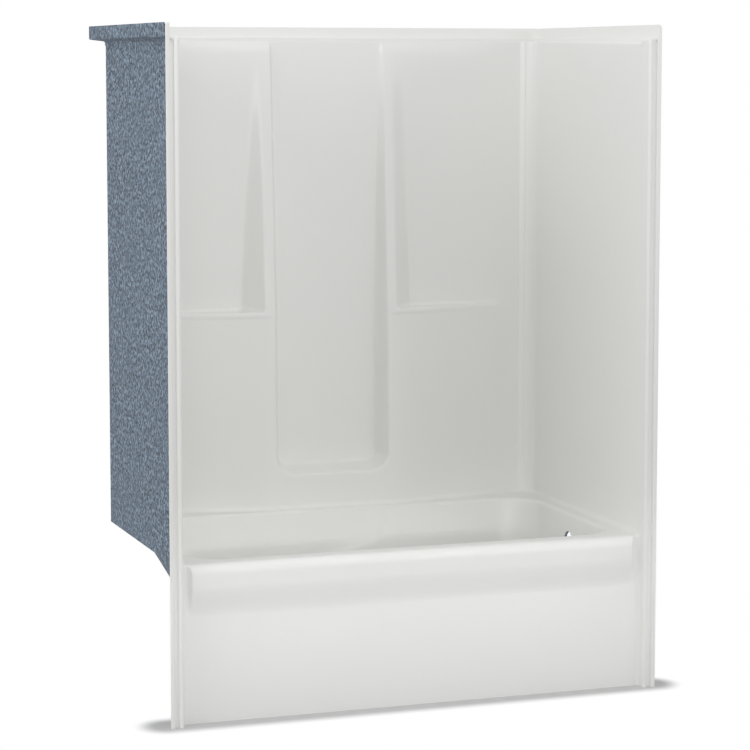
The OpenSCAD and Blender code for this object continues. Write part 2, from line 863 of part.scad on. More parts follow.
// Apron
// The solid behind the front surface of the apron, with the surface set back by t
module apron_block(t) {
    top = deck_h - t;
    box([-wall_x, panel_y + t, 0], [wall_x, apron_back_y, top]);
    half = wall_x - band_end_gap - t;
    centre = [band_back + rim_r, deck_h - rim_r];
    translate([-half, front_y, 0]) rotate([90, 0, 90]) linear_extrude(2 * half) {
        polygon([
            [band_back + t, band_bottom_h + panel_back - band_back + t / 2],
            [band_back + rim_r, band_bottom_h + panel_back - band_back + t / 2],
            [band_back + rim_r, band_bottom_h + t / 2],
            [panel_back + t, band_bottom_h + t / 2]
        ]);
        translate([band_back + t, band_bottom_h + panel_back - band_back + t / 2 - slice])
            square([rim_r, deck_h - rim_r - band_bottom_h - panel_back + band_back]);
        translate([band_back + rim_r, band_bottom_h]) square([over, top - band_bottom_h]);
        intersection() {
            translate(centre) circle(r = rim_r - t, $fn = 96);
            translate([band_back, deck_h - rim_r]) square([rim_r, rim_r]);
        }
    }
}

module apron_face() {
    color(face_colour) difference() {
        apron_block(0);
        apron_block(face_t);
    }
}

module apron_backing() {
    color(backing_colour) difference() {
        apron_block(face_t);
        apron_block(face_t + apron_backing_t);
        box([-half_w, front_y, -over], [half_w, 0, backing_edge_h]);
    }
}

// Supports
module bottom_board() {
    color(core_colour) difference() {
        box([floor_left_x + board_margin, floor_front_y + board_margin, board_bottom_h],
            [floor_right_x - board_margin, floor_back_y - board_margin, board_top_h]);
        drain_disc(collar_r + board_margin, board_bottom_h - over, board_top_h + over);
    }
}

module floor_runners() {
    x0 = floor_left_x + board_margin + runner_margin;
    x1 = floor_right_x - board_margin - runner_margin;
    y0 = floor_front_y + board_margin + runner_margin;
    y1 = floor_back_y - board_margin - runner_margin - timber_t;
    middle_x1 = drain_x - collar_r - board_margin - timber_t;
    color(timber_colour) {
        box([x0, y0, 0], [x1, y0 + timber_t, board_bottom_h]);
        box([x0, (y0 + y1) / 2, 0], [middle_x1, (y0 + y1) / 2 + timber_t, board_bottom_h]);
        box([x0, y1, 0], [x1, y1 + timber_t, board_bottom_h]);
    }
}

module apron_stiffeners() {
    pitch = 2 * wall_x / stiffener_count;
    color(core_colour) for (i = [0:stiffener_count - 1]) {
        x = -wall_x + (i + 0.5) * pitch;
        box([x - stiffener_w / 2, panel_rear_y, 0],
            [x + stiffener_w / 2, panel_rear_y + board_t, band_bottom_h]);
    }
}

module front_rim_batten() {
    half = wall_x - band_end_gap - 2 * board_t;
    color(timber_colour)
        box([-half, apron_back_y, deck_bottom_h - timber_t],
            [half, front_y + rim_w - rim_flare - face_t - backing_t, deck_bottom_h]);
}

back_channel();
back_lower_wall();
left_niche();
right_niche();
back_wall_backing();
left_corner_backing();
right_corner_backing();
left_wall_face();
left_wall_core();
left_wall_backing();
right_wall_face();
right_wall_core();
right_wall_backing();
left_corner_cove();
right_corner_cove();
left_front_column();
right_front_column();
left_nail_flange();
right_nail_flange();
top_flange();
top_flange_backing();
top_ledge();
tub_deck();
basin_floor();
basin_backrest();
basin_drain_end();
basin_front_wall();
basin_rear_wall();
tub_backing();
apron_face();
apron_backing();
bottom_board();
floor_runners();
apron_stiffeners();
front_rim_batten();
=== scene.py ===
"""Looks of the alcove bath and shower: moulded shell, speckled fibre backing, supports and a studio."""

import math

import bmesh
import bpy
from mathutils import Matrix, Vector


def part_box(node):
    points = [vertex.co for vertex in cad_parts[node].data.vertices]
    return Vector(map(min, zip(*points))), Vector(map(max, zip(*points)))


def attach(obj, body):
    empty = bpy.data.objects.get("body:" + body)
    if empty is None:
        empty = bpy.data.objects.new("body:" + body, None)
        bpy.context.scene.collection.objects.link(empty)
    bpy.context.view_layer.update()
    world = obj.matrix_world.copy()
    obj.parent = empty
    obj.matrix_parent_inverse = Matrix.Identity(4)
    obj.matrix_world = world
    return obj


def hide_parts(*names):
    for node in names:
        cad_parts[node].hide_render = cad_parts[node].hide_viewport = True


bl_info = {
    "name": "Alcove bath and shower",
    "version": (1, 0, 0),
    "blender": (4, 5, 0),
    "location": "3D view, sidebar, Bath and shower",
    "description": "Builds the moulded shell, its backing, its supports and the studio",
    "category": "Object",
}

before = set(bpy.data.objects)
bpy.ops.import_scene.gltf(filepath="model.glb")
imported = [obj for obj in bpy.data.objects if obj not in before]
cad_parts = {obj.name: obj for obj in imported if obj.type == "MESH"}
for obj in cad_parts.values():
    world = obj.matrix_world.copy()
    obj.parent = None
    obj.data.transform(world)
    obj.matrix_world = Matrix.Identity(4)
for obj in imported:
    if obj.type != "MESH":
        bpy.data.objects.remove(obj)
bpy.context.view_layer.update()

# Faces that meet at more than this angle keep a sharp edge
SHARP_ANGLE = math.radians(35)

# Sizes of the part, in metres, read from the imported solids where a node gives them.
# The walls, the ledge and the upstand
FACE_T = 0.004
WALL_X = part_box("right_wall_face")[0].x
BACK_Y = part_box("right_corner_cove")[1].y - FACE_T
FRONT_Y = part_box("left_nail_flange")[0].y
WALL_FRONT_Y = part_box("right_wall_face")[0].y
DECK_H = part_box("tub_deck")[1].z
TOP_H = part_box("top_flange")[1].z
FLANGE_BASE_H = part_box("top_flange")[0].z
FLANGE_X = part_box("top_ledge")[1].x
FLANGE_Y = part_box("top_ledge")[1].y
LEDGE_TOP_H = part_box("top_ledge")[1].z
LEDGE_FRONT_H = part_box("top_ledge")[0].z + FACE_T
LEDGE_BACK_H = LEDGE_TOP_H - 0.008
SHELF_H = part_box("left_niche")[0].z + FACE_T
RIM_T = 0.003
FLANGE_BACKING_T = 0.006
UPSTAND_LOW = 0.014
COVE_R = 0.050
COVE_X = WALL_X - COVE_R
SEAM_X = COVE_X - 0.008
RIM_SEAM = 0.014
RIM_EDGE_R = 0.004
RIM_HOLLOW_R = 0.005
RIM_FRONT_GAP = 0.003
FLANGE_FRONT_R = 0.024
BACKING_OUT = 0.0117
BACKING_GAP = 0.012
BACKING_END = 0.020
BACKING_BEND_R = 0.002
BACKING_UNDER = 0.0065
BACKING_FALLS = ((0.0, 0.012), (0.0, 0.006), (0.03, 0.002), (0.10, 0.0), (0.4, 0.0), (0.8, 0.0))
RIDGE_RISE = 0.0025
SHELF_LIP = 0.003
SHELF_NOSE = 0.007
SHELF_FOOT = 0.012
SHELF_BELOW = 0.0072
SHELF_ABOVE = 0.0125

# The front columns
HALF_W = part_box("right_nail_flange")[1].x
COLUMN_D = WALL_FRONT_Y - FRONT_Y
COLUMN_TOP_R = 0.012
COLUMN_EDGE_R = 0.0012
COLUMN_BEND_R = 0.0035
FLANGE_W = 0.013
GROOVE_D = 0.008
BEAD_R = 0.008
BEAD_AXIS = 0.033
COLUMN_T = 0.003
COLUMN_SHEET_T = COLUMN_T - 0.0005
COLUMN_TOP_GAP = 0.0015
BEAD_TOP_H = FLANGE_BASE_H - BEAD_R

# The relief of the back wall
RELIEF_SHELF = 0.061
RELIEF_DECK = 0.076
RELIEF_TOP = 0.012
TOP_BLEND = 0.040
RELIEF_REACH = 0.620
CHANNEL_HALF = 0.190
CHANNEL_DRAFT = 0.022
CHANNEL_TOP_DRAFT = 0.008
CHANNEL_FLOOR_H = 0.578
CHANNEL_R = 0.060
PILASTER_X = 0.222
PILASTER_SLOPE_W = 0.067
WALLS_TOP_H = LEDGE_BACK_H - FACE_T
BLEND_H = WALLS_TOP_H - TOP_BLEND

# The basin
BASIN_LEFT_X = -0.675
BASIN_RIGHT_X = 0.672
BASIN_FRONT_Y = -0.370
BASIN_BACK_Y = 0.325
BASIN_R = 0.120
DECK_CORNER_R = 0.001
BASIN_FLOOR_H = 0.105
BASIN_FLOOR_R = 0.045
BACKREST_ANGLE = math.radians(31)
DRAIN_END_ANGLE = math.radians(6)
FRONT_ANGLE = math.radians(7)
REAR_ANGLE = math.radians(9)
DRAIN_X = 0.5488
DRAIN_Y = (BASIN_FRONT_Y + BASIN_BACK_Y) / 2
DRAIN_R = 0.0254
DISH_R = 0.0374
DISH_T = 0.003
COLLAR_T = 0.014
DRAIN_EDGE = 0.0012
DISH_LIP = 0.003
DISH_EDGE = 0.0005
DISH_FALL = 0.0008
DISH_WALL = 0.002
OVERFLOW_H = 0.375
OVERFLOW_R = 0.035
OVERFLOW_PAD_T = 0.012
OVERFLOW_PAD_R = 0.050
OVERFLOW_PAD_START = 0.0035
OVERFLOW_PAD_EDGE = 0.001
OVERFLOW_CUT = 0.030
ROUND_SEGMENTS = 96
ARMREST_H = 0.300
ARMREST_RISE = 0.070
ARMREST_DEPTH = 0.014
ARMREST_RUN = 0.09
ARMREST_SIDE = (0.12, 0.20)
ARMREST_LEFT = (-0.56, -0.46)
ARMREST_RIGHT = (0.42, 0.56)
ARMREST_CLIMB_X = -0.10
ARMREST_CLIMB_W = 0.26
ARMREST_SCOOP = (0.12, 0.24)
ARMREST_SOFT = (-0.012, 0.016)

# The apron
BAND_BACK = 0.018
PANEL_BACK = 0.035
BAND_BOTTOM_H = 0.385
BAND_FOOT_LOW = 0.075
BAND_FOOT_HIGH = 0.017
RIM_R = 0.030
RIM_END_R = 0.005
APRON_BACK_Y = FRONT_Y + 0.053
BAND_HALF = WALL_X - 0.026
BAND_END = (BAND_HALF - 0.005, BAND_HALF + 0.007)

# The studio
WHITE = (1.0, 1.0, 1.0, 1.0)
FLOOR_R = 9.0
FLOOR_GREY = (0.45, 0.45, 0.45, 1.0)
# Painted shadow on the floor: along the front foot of the apron and columns the floor glows only by the first
# share, so its grey diffuse part shows, and it fades to full white over the second width
FLOOR_PAINTED_SHADOW_GLOW = 0.2
FLOOR_PAINTED_SHADOW_FADE = 0.07
CAMERA_PLACE = (-2.5818, -7.4341, 1.8925)
CAMERA_YAW = math.radians(19.373)
CAMERA_PITCH = math.radians(5.983)
CAMERA_LENS = 122.96
CAMERA_SHIFT = (-0.0048, -0.0563)

# Name of each lamp, its place, the point it faces, its width and height, and its spread in degrees
LAMPS = (
    ("front", (-2.4, -7.6, 2.4), (0.0, 0.1, 1.1), 2.0, 2.0, 180),
    ("side", (-5.0, -1.5, 3.0), (0.0, 0.0, 1.2), 2.5, 2.5, 180),
    ("right", (4.5, -5.5, 2.2), (0.0, 0.0, 1.0), 2.5, 2.5, 180),
    ("top", (0.0, -1.4, 3.2), (0.0, 0.3, 1.5), 1.0, 1.0, 180),
    ("apron", (0.0, -2.2, 0.75), (0.0, -0.45, 0.3), 1.6, 0.06, 26),
)


# Small helpers for numbers
def mix(a, b, share):
    return a + (b - a) * share


def clamp(value, low=0.0, high=1.0):
    return max(low, min(high, value))


def smooth(low, high, value):
    """0 below low and 1 above high, with a soft run between."""
    t = clamp((value - low) / (high - low))
    return t * t * (3 - 2 * t)


def spaced(*stops):
    """Values from the first stop on; each further stop is an end and the largest step up to it."""
    values = [stops[0]]
    for end, step in stops[1:]:
        start = values[-1]
        count = max(1, math.ceil((end - start) / step - 1e-6))
        values += [mix(start, end, (i + 1) / count) for i in range(count)]
    return values


# Meshes
def loft(rows, closed=False, flip=False, into=None):
    """A sheet through rows of points: the first row is drawn and the others are extruded from it."""
    bm = into or bmesh.new()
    column = bm.verts.layers.int.get("column") or bm.verts.layers.int.new("column")
    before = set(bm.faces)
    first = []
    for i, point in enumerate(rows[0]):
        vert = bm.verts.new(point)
        vert[column] = i
        first.append(vert)
    pairs = list(zip(first, first[1:]))
    if closed:
        pairs.append((first[-1], first[0]))
    edges = [bm.edges.new(pair) for pair in pairs]
    for row in rows[1:]:
        made = bmesh.ops.extrude_edge_only(bm, edges=edges)["geom"]
        verts = {item for item in made if isinstance(item, bmesh.types.BMVert)}
        for vert in verts:
            vert.co = row[vert[column]]
        edges = [item for item in made if isinstance(item, bmesh.types.BMEdge)
                 and item.verts[0] in verts and item.verts[1] in verts]
    if flip:
        bmesh.ops.reverse_faces(bm, faces=[face for face in bm.faces if face not in before])
    return bm


def arc(cx, cy, radius, start, end, count):
    """Points on an arc between two angles in degrees."""
    angles = [math.radians(mix(start, end, i / count)) for i in range(count + 1)]
    return [(cx + radius * math.cos(a), cy + radius * math.sin(a)) for a in angles]


def plain_object(name, bm):
    """Turns a bmesh into an object of the scene."""
    mesh = bpy.data.meshes.new(name)
    bm.to_mesh(mesh)
    bm.free()
    made = bpy.data.objects.new(name, mesh)
    bpy.context.scene.collection.objects.link(made)
    return made


def finish_piece(name, bm, material, replaces=(), wall=0.0, cut=None):
    """Turns a bmesh into a piece, with wall thickness behind its front and sharp edges marked."""
    piece = plain_object(name, bm)
    if wall:
        shell = piece.modifiers.new("Wall", "SOLIDIFY")
        shell.thickness = wall
        shell.offset = -1.0
    if cut:
        hole = piece.modifiers.new("Hole", "BOOLEAN")
        hole.operation = "DIFFERENCE"
        hole.object = cut
    if piece.modifiers:
        depsgraph = bpy.context.evaluated_depsgraph_get()
        final = bpy.data.meshes.new_from_object(piece.evaluated_get(depsgraph))
        piece.modifiers.clear()
        piece.data = final
    piece.data.name = name
    piece.data.shade_smooth()
    piece.data.set_sharp_from_angle(angle=SHARP_ANGLE)
    piece.data.materials.clear()
    piece.data.materials.append(material)
    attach(piece, "root")
    if replaces:
        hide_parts(*replaces)
    return piece


# Back wall surface: depths in front of the plane of the back wall, at a height
def lower_depth(z):
    """Depth of the wall below the shelves."""
    lean = (RELIEF_DECK - RELIEF_SHELF) / (SHELF_H - DECK_H)
    return RELIEF_SHELF + lean * (SHELF_H - z)


def pilaster_depth(z):
    """Depth of the pilasters, which taper to nothing under the ledge."""
    if z <= BLEND_H:
        return mix(RELIEF_SHELF, RELIEF_TOP, (z - SHELF_H) / (BLEND_H - SHELF_H))
    return RELIEF_TOP * (1 - ((z - BLEND_H) / TOP_BLEND) ** 2)


def recess_depth(z):
    """Depth of the backs of the niches."""
    if z <= BLEND_H:
        return RELIEF_TOP * max(0.0, z - SHELF_H) / (BLEND_H - SHELF_H)
    return pilaster_depth(z)


def soft_ramp(t, ease):
    """0 to 1 over 0 to 1 in a straight line, with both ends rounded over a share of the run."""
    t = clamp(t, -ease, 1 + ease)
    run = 2 * ease
    low = (t + ease) ** 2 / (2 * run) if t < ease else t
    high = 1 - (1 + ease - t) ** 2 / (2 * run) if t > 1 - ease else t
    return low if t < 0.5 else high


def lower_front(x, z):
    """Depth of the wall below the shelves, with the lip along their front edge."""
    share = (abs(x) - PILASTER_X) / (RELIEF_REACH - PILASTER_X)
    lip = SHELF_LIP * smooth(SHELF_H - 0.022, SHELF_H - 0.013, z) * smooth(-0.10, 0.02, share)
    return (lower_depth(z) + lip) * (1 - soft_ramp(share, 0.06))


def upper_front(x, z):
    """Depth of the pilasters and niches above the shelves."""
    pilaster, recess = pilaster_depth(z), recess_depth(z)
    width = PILASTER_SLOPE_W * (0.35 + 0.65 * (pilaster - recess) / RELIEF_SHELF)
    u = (abs(x) - PILASTER_X) / width
    blend = smooth(0.35, 0.85, (z - SHELF_H) / (BLEND_H - SHELF_H))
    share = soft_ramp(u, mix(0.07, 0.45, blend))
    foot = PILASTER_X + width
    far = 1 - soft_ramp((abs(x) - foot) / (RELIEF_REACH - foot), 0.10)
    return mix(pilaster, recess * far, share)


def channel_share(x, z):
    """1 on the wall round the channel and 0 on the flat back of the channel."""
    draft = mix(CHANNEL_DRAFT, CHANNEL_TOP_DRAFT, clamp((z - SHELF_H) / (WALLS_TOP_H - SHELF_H)))
    qx = abs(x) - (CHANNEL_HALF - CHANNEL_R)
    qz = CHANNEL_FLOOR_H + CHANNEL_R - z
    if qx > 0 and qz > 0:
        out = math.hypot(qx, qz) - CHANNEL_R
    else:
        out = max(qx, qz) - CHANNEL_R
    return 1 - soft_ramp(-out / draft, 0.22)


def shelf_rows():
    """Rows over the nose, the top and the foot of the shelf, as functions of the two depths."""
    nose, foot, count = SHELF_NOSE, SHELF_FOOT, 6

    def row(stage, share):
        def place(low, high):
            full = smooth(0.0, nose + foot, low - high)
            angle = share * math.pi / 2
            if stage == "nose":
                z, depth = -nose * (1 - math.sin(angle)), low - nose * full * (1 - math.cos(angle))
                level = mix(-nose, -nose / 2, share)
            elif stage == "top":
                z, depth = 0.0, mix(low - nose * full, high + foot * full, share)
                level = mix(-nose / 2, foot / 2, share)
            else:
                z, depth = foot * (1 - math.cos(angle)), high + foot * full * (1 - math.sin(angle))
                level = mix(foot / 2, foot, share)
            between = mix(low, high, (level + nose) / (nose + foot))
            return SHELF_H + mix(level, z, full), mix(between, depth, full)
        return place

    rows = [row("nose", i / count) for i in range(count)]
    rows += [row("top", i / 4) for i in range(4)]
    rows += [row("foot", i / count) for i in range(count + 1)]
    return rows


def foot_rows(radius, count=7):
    """Heights above the deck, and the way forward, of the soft foot of a wall."""
    angles = [math.pi / 2 * i / count for i in range(count + 1)]
    return [(radius * (1 - math.cos(a)), radius * (1 - math.sin(a))) for a in angles]


def back_wall_rows(columns):
    """Rows of the back wall from the deck up."""
    rows = []
    foot = settings().foot_radius

    def point(x, z, depth):
        return (x, BACK_Y - depth, z)

    for up, forward in foot_rows(foot):
        rows.append([point(x, DECK_H + up, lower_front(x, DECK_H + up) + forward) for x in columns])
    heights = spaced(DECK_H + foot, (0.560, 0.02), (0.655, 0.0028), (1.08, 0.03),
                     (SHELF_H - SHELF_BELOW, 0.0025))
    for z in heights[1:]:
        rows.append([point(x, z, lower_front(x, z) * channel_share(x, z)) for x in columns])
    for place in shelf_rows():
        row = []
        for x in columns:
            z, depth = place(lower_front(x, SHELF_H), upper_front(x, SHELF_H))
            row.append(point(x, z, depth * channel_share(x, z)))
        rows.append(row)
    for z in spaced(SHELF_H + SHELF_ABOVE, (1.15, 0.008), (BLEND_H, 0.022), (WALLS_TOP_H - RIM_SEAM, 0.004)):
        rows.append([point(x, z, upper_front(x, z) * channel_share(x, z)) for x in columns])
    return rows


def mirrored_values(values):
    return [-v for v in reversed(values)] + values


def back_wall_columns():
    half = spaced(0.0, (0.130, 0.026), (0.150, 0.005), (0.202, 0.0026), (0.236, 0.004), (0.30, 0.0055),
                  (0.56, 0.026), (SEAM_X, 0.008))
    return mirrored_values(half[1:])[:len(half) - 1] + half


# Side walls, coves and rim follow one line round the alcove, seen from above
def plan_points(side):
    """Wall point, inward normal and flange point along a line from the front of a side wall to the seam."""
    points = []
    for y in spaced(WALL_FRONT_Y, (BACK_Y - COVE_R, 0.10)):
        points.append(((WALL_X, y), (-1.0, 0.0), (FLANGE_X, y)))
    steps = 32
    for i in range(1, steps + 1):
        angle = math.pi / 2 * i / steps
        c, s = math.cos(angle), math.sin(angle)
        turned = math.degrees(angle)
        radius = COVE_R - RIDGE_RISE * smooth(61, 66, turned) * (1 - smooth(70, 88, turned))
        wall = (COVE_X + radius * c, BACK_Y - COVE_R + radius * s)
        if i <= steps / 2:
            out = (FLANGE_X, mix(BACK_Y - COVE_R, FLANGE_Y, 2 * i / steps))
        else:
            out = (mix(FLANGE_X, COVE_X, 2 * i / steps - 1), FLANGE_Y)
        points.append((wall, (-c, -s), out))
    points.append(((SEAM_X, BACK_Y), (0.0, -1.0), (SEAM_X, FLANGE_Y)))
    return [((side * w[0], w[1]), (side * n[0], n[1]), (side * o[0], o[1])) for w, n, o in points]


def ledge_in_height(y):
    """Height of the inner edge of the ledge, which falls towards the front."""
    return mix(LEDGE_FRONT_H, LEDGE_BACK_H, clamp((y - FRONT_Y) / (BACK_Y - FRONT_Y)))


def side_wall_rows(side):
    """Rows of a side wall and its cove from the deck up."""
    rows = []
    foot = settings().foot_radius
    plan = plan_points(side)
    for up, forward in foot_rows(foot):
        rows.append([(w[0] + n[0] * forward, w[1] + n[1] * forward, DECK_H + up) for w, n, _ in plan])
    for share in (0.25, 0.5, 0.75, 1.0):
        row = []
        for w, _, _ in plan:
            low, high = DECK_H + foot, ledge_in_height(w[1]) - RIM_SEAM - FACE_T
            row.append((w[0], w[1], mix(low, high, share)))
        rows.append(row)
    return rows


def rim_plan():
    """Line of the rim from the left front round the back to the right front."""
    front = FRONT_Y + RIM_FRONT_GAP
    sides = []
    for side in (-1, 1):
        start = [((side * WALL_X, y), (-side, 0.0), (side * FLANGE_X, y))
                 for y in spaced(front, (front + FLANGE_FRONT_R, 0.003), (WALL_FRONT_Y - 0.001, 0.02))]
        sides.append(start + plan_points(side)[:-1])
    back = [((x, BACK_Y), (0.0, -1.0), (x, FLANGE_Y)) for x in back_wall_columns()]
    return sides[0] + back + sides[1][::-1]


def rim_rows(plan):
    """Rows from the top of the walls over the ledge and up the upstand."""
    rounding, hollow = RIM_EDGE_R, RIM_HOLLOW_R

    def wall_point(w, z):
        if w[1] < WALL_FRONT_Y:
            return (math.copysign(WALL_X + COLUMN_T / 2, w[0]), w[1], z)
        on_back_wall = w[1] == BACK_Y and z < WALLS_TOP_H
        depth = upper_front(w[0], z) * channel_share(w[0], z) if on_back_wall else 0.0
        return (w[0], w[1] - depth, z)

    rows = []
    for up in (0.0, 0.005, 0.010):
        rows.append([wall_point(w, ledge_in_height(w[1]) - RIM_SEAM - FACE_T + up) for w, _, _ in plan])
    profile = [("edge", i / 6) for i in range(7)] + [("ledge", 0.5)] + [("hollow", i / 6) for i in range(7)]
    for stage, share in profile:
        row = []
        for w, _, o in plan:
            top = ledge_in_height(w[1])
            run = math.hypot(o[0] - w[0], o[1] - w[1])
            slope = math.atan2(LEDGE_TOP_H - top, run)
            turn = math.pi / 2 - slope
            reach = rounding * math.tan(turn / 2)
            if stage == "edge":
                angle = turn * share
                across = rounding * (1 - math.cos(angle))
                up = top - reach + rounding * math.sin(angle)
            elif stage == "ledge":
                across, up = run * 0.5, mix(top, LEDGE_TOP_H, 0.5)
            else:
                bend = hollow * math.tan(turn / 2)
                angle = slope + turn * share
                centre = LEDGE_TOP_H - bend * math.sin(slope) + hollow * math.cos(slope)
                across = run - bend * math.cos(slope) - hollow * math.sin(slope) + hollow * math.sin(angle)
                up = centre - hollow * math.cos(angle)
            part = across / run
            row.append((mix(w[0], o[0], part), mix(w[1], o[1], part), up))
        rows.append(row)
    for share in (0.4, 0.8, 1.0):
        low = LEDGE_TOP_H + UPSTAND_LOW
        rows.append([(o[0], o[1], mix(low, upstand_top(o[1]), share)) for _, _, o in plan])
    return rows


def upstand_top(y):
    """Height of the upstand, whose front corners are rounded."""
    short = max(0.0, FLANGE_FRONT_R - (y - FRONT_Y - RIM_FRONT_GAP))
    return TOP_H - FLANGE_FRONT_R + math.sqrt(FLANGE_FRONT_R ** 2 - short ** 2)


# Basin: closed rings of rounded rectangles, anticlockwise from the rear right corner
def ring(x0, x1, y0, y1, radius, z, front=None):
    """Ring with the given radius at all corners, or with another at the two front corners."""
    arc_count, long_count, short_count = 16, 110, 26
    near = radius if front is None else front
    corners = [(x1 - radius, y1 - radius, 0, radius), (x0 + radius, y1 - radius, 90, radius),
               (x0 + near, y0 + near, 180, near), (x1 - near, y0 + near, 270, near)]
    points = []
    for i, (cx, cy, start, radius) in enumerate(corners):
        for step in range(arc_count + 1):
            angle = math.radians(start + 90 * step / arc_count)
            points.append((cx + radius * math.cos(angle), cy + radius * math.sin(angle), z))
        turn = math.radians(start + 90)
        next_x, next_y, _, radius = corners[(i + 1) % 4]
        here = points[-1]
        there = (next_x + radius * math.cos(turn), next_y + radius * math.sin(turn), z)
        count = long_count if i % 2 == 0 else short_count
        points += [tuple(Vector(here).lerp(Vector(there), step / count)) for step in range(1, count)]
    return points


def basin_ring(z, grow=0.0, rear_grow=None):
    """Ring of the sloping basin walls at a height, moved outward by a distance."""
    fall = DECK_H - z
    rear = grow if rear_grow is None else rear_grow
    points = ring(BASIN_LEFT_X - grow + fall * math.tan(BACKREST_ANGLE),
                  BASIN_RIGHT_X + grow - fall * math.tan(DRAIN_END_ANGLE),
                  BASIN_FRONT_Y - grow + fall * math.tan(FRONT_ANGLE),
                  BASIN_BACK_Y + rear - fall * math.tan(REAR_ANGLE), BASIN_R + grow, z)
    return [armrest(point) for point in points]


def armrest(point):
    """Moves a point of a long wall inward, but not on the scooped part above the line of the armrest."""
    x, y, z = point
    middle = (BASIN_FRONT_Y + BASIN_BACK_Y) / 2
    long_side = smooth(*ARMREST_SIDE, abs(y - middle)) * smooth(*ARMREST_LEFT, x)
    long_side *= 1 - smooth(*ARMREST_RIGHT, x)
    line = ARMREST_H + ARMREST_RISE * clamp((x - ARMREST_CLIMB_X) / ARMREST_CLIMB_W)
    line += (DECK_H - ARMREST_H) * smooth(*ARMREST_SCOOP, x)
    below = 1 - smooth(*ARMREST_SOFT, z - line)
    depth = clamp((DECK_H - z) / ARMREST_RUN) * smooth(0.0, ARMREST_RUN, z - BASIN_FLOOR_H - BASIN_FLOOR_R)
    move = ARMREST_DEPTH * depth * below * long_side
    return (x, y - (move if y > middle else -move), z)


# Shaders
class Term:
    """A shader socket that can be used in sums and products; each adds a Math node."""

    def __init__(self, graph, socket):
        self.graph = graph
        self.socket = socket

    def _math(self, operation, *values):
        return self.graph.node("ShaderNodeMath", {"operation": operation}, dict(enumerate(values)))

    def __add__(self, other):
        return self._math("ADD", self, other)

    def __radd__(self, other):
        return self._math("ADD", other, self)

    def __mul__(self, other):
        return self._math("MULTIPLY", self, other)

    def __rmul__(self, other):
        return self._math("MULTIPLY", other, self)

    def larger(self, other):
        return self._math("MAXIMUM", self, other)

    def above(self, low, high):
        """0 below low and 1 above high."""
        choices = {"interpolation_type": "SMOOTHSTEP", "clamp": True}
        values = {"Value": self, "From Min": low, "From Max": high}
        return self.graph.node("ShaderNodeMapRange", choices, values)


class Graph:
    """Node tree of a material or a world; node() adds a node and returns its first output or a named one."""

    def __init__(self, owner):
        self.owner = owner
        owner.use_nodes = True
        self.tree = owner.node_tree
        self.tree.nodes.clear()
        self.coordinates = None

    @property
    def place(self):
        """Object coordinates."""
        if not self.coordinates:
            self.coordinates = self.node("ShaderNodeTexCoord", output="Object")
        return self.coordinates

    def node(self, kind, choices=None, values=None, output=0):
        made = self.tree.nodes.new(kind)
        for name, value in (choices or {}).items():
            setattr(made, name, value)
        for name, value in (values or {}).items():
            socket = made.inputs[name]
            if isinstance(value, Term):
                self.tree.links.new(value.socket, socket)
            else:
                socket.default_value = value
        return Term(self, made.outputs[output]) if made.outputs else None

    def noise(self, scale, detail=2.0, stretch=(1.0, 1.0, 1.0), offset=(0.0, 0.0, 0.0), rough=0.5):
        """Noise from 0 to 1, whose scale counts features in a metre."""
        values = {"Vector": self.place, "Scale": stretch, "Location": offset}
        place = self.node("ShaderNodeMapping", None, values)
        values = {"Vector": place, "Scale": scale, "Detail": detail, "Roughness": rough}
        return self.node("ShaderNodeTexNoise", None, values, "Fac")

    def blend(self, share, first, second):
        values = {0: share, 6: first, 7: second}
        return self.node("ShaderNodeMix", {"data_type": "RGBA"}, values, 2)

    def bump(self, height, distance, strength=1.0, normal=None):
        values = {"Height": height, "Distance": distance, "Strength": strength}
        if normal:
            values["Normal"] = normal
        return self.node("ShaderNodeBump", None, values, "Normal")

    def background_rays(self):
        """1 for the rays that see the white background and 0 for those that light the piece."""
        camera, glossy, through = (self.node("ShaderNodeLightPath", output="Is %s Ray" % kind)
                                   for kind in ("Camera", "Glossy", "Transmission"))
        return camera.larger(glossy).larger(through)

    def show(self, shader, output="ShaderNodeOutputMaterial"):
        self.node(output, None, {"Surface": shader})
        return self.owner

    def surface(self, **values):
        named = {name.replace("_", " "): value for name, value in values.items()}
        return self.show(self.node("ShaderNodeBsdfPrincipled", None, named))


def colour(rgb):
    return (*rgb, 1.0)


def gel_coat_material(name):
    graph = Graph(bpy.data.materials.new(name))
    base = Vector(settings().gel_colour)
    cloudy = graph.noise(1.7, 3.0)
    patchy = graph.noise(11.0, 4.0, offset=(3.1, 1.7, 0.4))
    shade = graph.blend(cloudy.above(0.2, 0.8), colour(base * 0.99), colour(base * 1.0))
    shade = graph.blend(patchy.above(0.4, 0.9) * 0.3, shade, colour(base * 0.985))
    ripple = graph.noise(12.0, 1.0)
    peel = graph.noise(420.0, 2.0)
    normal = graph.bump(ripple, 0.0003, 0.12)
    normal = graph.bump(peel, 0.00003, 0.25, normal)
    roughness = 0.30 + patchy * 0.04 + peel * 0.03
    return graph.surface(Base_Color=shade, Roughness=roughness, Normal=normal,
                         Coat_Weight=0.1, Coat_Roughness=0.2)


